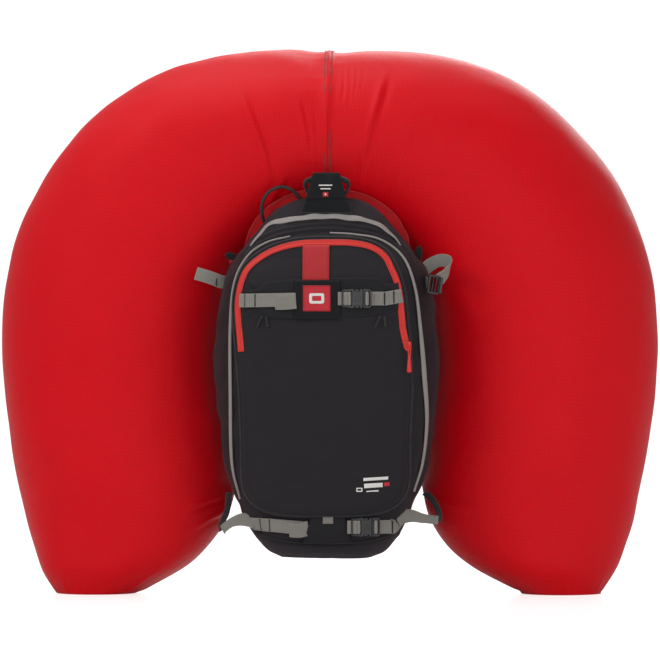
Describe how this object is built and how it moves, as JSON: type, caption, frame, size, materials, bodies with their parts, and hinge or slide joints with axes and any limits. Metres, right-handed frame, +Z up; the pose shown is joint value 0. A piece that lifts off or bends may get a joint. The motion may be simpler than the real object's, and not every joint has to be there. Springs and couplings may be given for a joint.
{
  "type": "avalanche airbag backpack",
  "caption": "Ski-touring backpack with its arched red avalanche airbag inflated, arched front tool pocket, grey webbing straps, harness and gas firing set.",
  "frame": {"origin": "on the floor under the middle of the whole object, airbag included", "axes": "+X to the wearer's right, +Y towards the wearer's back, +Z up; the pack's outer face looks along -Y"},
  "size_m": [0.9764, 0.4171, 0.8068],
  "materials": {
    "bag_fabric": "coated ripstop nylon, satin",
    "bag_strip": "coated nylon tape",
    "pack_fabric": "coated nylon pack cloth, matt",
    "mesh_pad": "spacer mesh over foam",
    "grey_webbing": "ribbed polyester webbing",
    "black_webbing": "polyester webbing and cord",
    "grey_piping": "reflective grey tape",
    "red_trim": "coated zip tape and cord",
    "black_plastic": "moulded acetal",
    "red_plastic": "moulded grip",
    "hose_rubber": "smooth",
    "anodised": "anodised",
    "spring_steel": "spring steel",
    "cartridge_paint": "powder coated steel"
  },
  "bodies": {
    "pack": {"airbag_chamber_left": "bag_fabric", "airbag_chamber_right": "bag_fabric", "airbag_centre_strip": "bag_strip", "airbag_collar": "bag_strip", "venturi_left": "black_plastic", "venturi_right": "black_plastic", "pressure_hose_left": "hose_rubber", "pressure_hose_right": "hose_rubber", "percussion_head": "anodised", "striker_spring": "spring_steel", "trigger_cable": "black_webbing", "trigger_sleeve": "black_plastic", "pack_shell": "pack_fabric", "frame_sheet": "black_plastic", "frame_hoop": "anodised", "back_pad_left": "mesh_pad", "back_pad_right": "mesh_pad", "lumbar_pad": "mesh_pad", "tool_pocket_body": "pack_fabric", "top_zip_band": "grey_piping", "side_piping_left": "grey_piping", "side_piping_right": "grey_piping", "lower_strap_left": "grey_webbing", "lower_strap_right": "grey_webbing", "lower_buckle_socket": "black_plastic", "lower_patch": "pack_fabric", "ski_strap_upper_left": "grey_webbing", "ski_strap_upper_right": "grey_webbing", "ski_strap_lower_left": "grey_webbing", "ski_strap_lower_right": "grey_webbing", "shoulder_strap_left": "mesh_pad", "shoulder_strap_right": "mesh_pad", "shoulder_webbing_left": "black_webbing", "shoulder_webbing_right": "black_webbing", "sternum_webbing_left": "black_webbing", "sternum_webbing_right": "black_webbing", "sternum_buckle_socket": "black_plastic"},
    "pocket_flap": {"tool_pocket_flap": "pack_fabric", "tool_pocket_zip": "red_trim", "accent_ribbon": "red_trim", "label_patch": "pack_fabric", "upper_strap_left": "grey_webbing", "upper_strap_right": "grey_webbing", "upper_buckle_socket": "black_plastic"},
    "upper_plug": {"upper_buckle_plug": "black_plastic"},
    "lower_plug": {"lower_buckle_plug": "black_plastic"},
    "zip_slider": {"zip_slider": "red_trim"},
    "zip_puller": {"zip_puller": "red_trim"},
    "closure_flap": {"closure_flap": "pack_fabric"},
    "grab_handle": {"grab_handle": "black_webbing"},
    "ladder_lock": {"ladder_lock": "black_plastic"},
    "sternum_plug": {"sternum_buckle_plug": "black_plastic"},
    "hip_belt_left": {"hip_belt_left": "mesh_pad", "hip_buckle_socket": "black_plastic"},
    "hip_belt_right": {"hip_belt_right": "mesh_pad", "hip_buckle_plug": "black_plastic"},
    "trigger_handle": {"trigger_handle": "red_plastic"},
    "sear_lever": {"sear_lever": "spring_steel"},
    "striker": {"striker": "anodised"},
    "gas_cartridge": {"gas_cartridge": "cartridge_paint"}
  },
  "joints": [
    {"name": "pocket_flap_open", "type": "hinge", "parent": "pack", "child": "pocket_flap", "pos_m": [0, -0.1998, 0.3622], "axis": [1, 0, 0], "range_deg": [0, 75]},
    {"name": "upper_buckle_release", "type": "slide", "parent": "pocket_flap", "child": "upper_plug", "axis": [0.9978, 0.0666, 0], "range_m": [0, 0.016]},
    {"name": "lower_buckle_release", "type": "slide", "parent": "pack", "child": "lower_plug", "axis": [0.9628, 0.2702, 0], "range_m": [0, 0.016]},
    {"name": "zip_slide", "type": "slide", "parent": "pack", "child": "zip_slider", "axis": [0, 0, 1], "range_m": [0, 0.07]},
    {"name": "zip_puller_flip", "type": "hinge", "parent": "zip_slider", "child": "zip_puller", "pos_m": [0.12286, -0.19857, 0.3735], "axis": [-0.9451, -0.3268, 0], "range_deg": [0, 120]},
    {"name": "closure_flap_lift", "type": "hinge", "parent": "pack", "child": "closure_flap", "pos_m": [0, -0.1391, 0.5655], "axis": [1, 0, 0], "range_deg": [0, 100]},
    {"name": "grab_handle_swing", "type": "hinge", "parent": "pack", "child": "grab_handle", "pos_m": [0, -0.1046, 0.591], "axis": [1, 0, 0], "range_deg": [-12, 30]},
    {"name": "ladder_lock_tilt", "type": "hinge", "parent": "pack", "child": "ladder_lock", "pos_m": [0.15049, -0.15934, 0.459], "axis": [0, 0, -1], "range_deg": [0, 30]},
    {"name": "sternum_buckle_release", "type": "slide", "parent": "pack", "child": "sternum_plug", "axis": [1, 0, 0], "range_m": [0, 0.016]},
    {"name": "hip_belt_left_swing", "type": "hinge", "parent": "pack", "child": "hip_belt_left", "pos_m": [-0.095, -0.0146, 0.114], "axis": [0, 0, -1], "range_deg": [-6, 28]},
    {"name": "hip_belt_right_swing", "type": "hinge", "parent": "pack", "child": "hip_belt_right", "pos_m": [0.095, -0.0146, 0.114], "axis": [0, 0, 1], "range_deg": [-6, 28]},
    {"name": "trigger_pull", "type": "slide", "parent": "pack", "child": "trigger_handle", "axis": [0, 0, -1], "range_m": [0, 0.035]},
    {"name": "sear_swing", "type": "hinge", "parent": "pack", "child": "sear_lever", "pos_m": [0.071, -0.0676, 0.403], "axis": [0, 0, -1], "range_deg": [0, 25]},
    {"name": "striker_strike", "type": "slide", "parent": "pack", "child": "striker", "axis": [0, 0, -1], "range_m": [0, 0.004], "deforming": ["striker_spring"]},
    {"name": "cartridge_turn", "type": "hinge", "parent": "pack", "child": "gas_cartridge", "pos_m": [0.058, -0.0676, 0.25], "axis": [0, 0, 1], "continuous": true}
  ],
  "couplings": [
    {"joint": "sear_swing", "follows": "trigger_pull", "rad_per_m": 12.4},
    {"joint": "striker_strike", "follows": "trigger_pull", "ratio": 0.114}
  ]
}
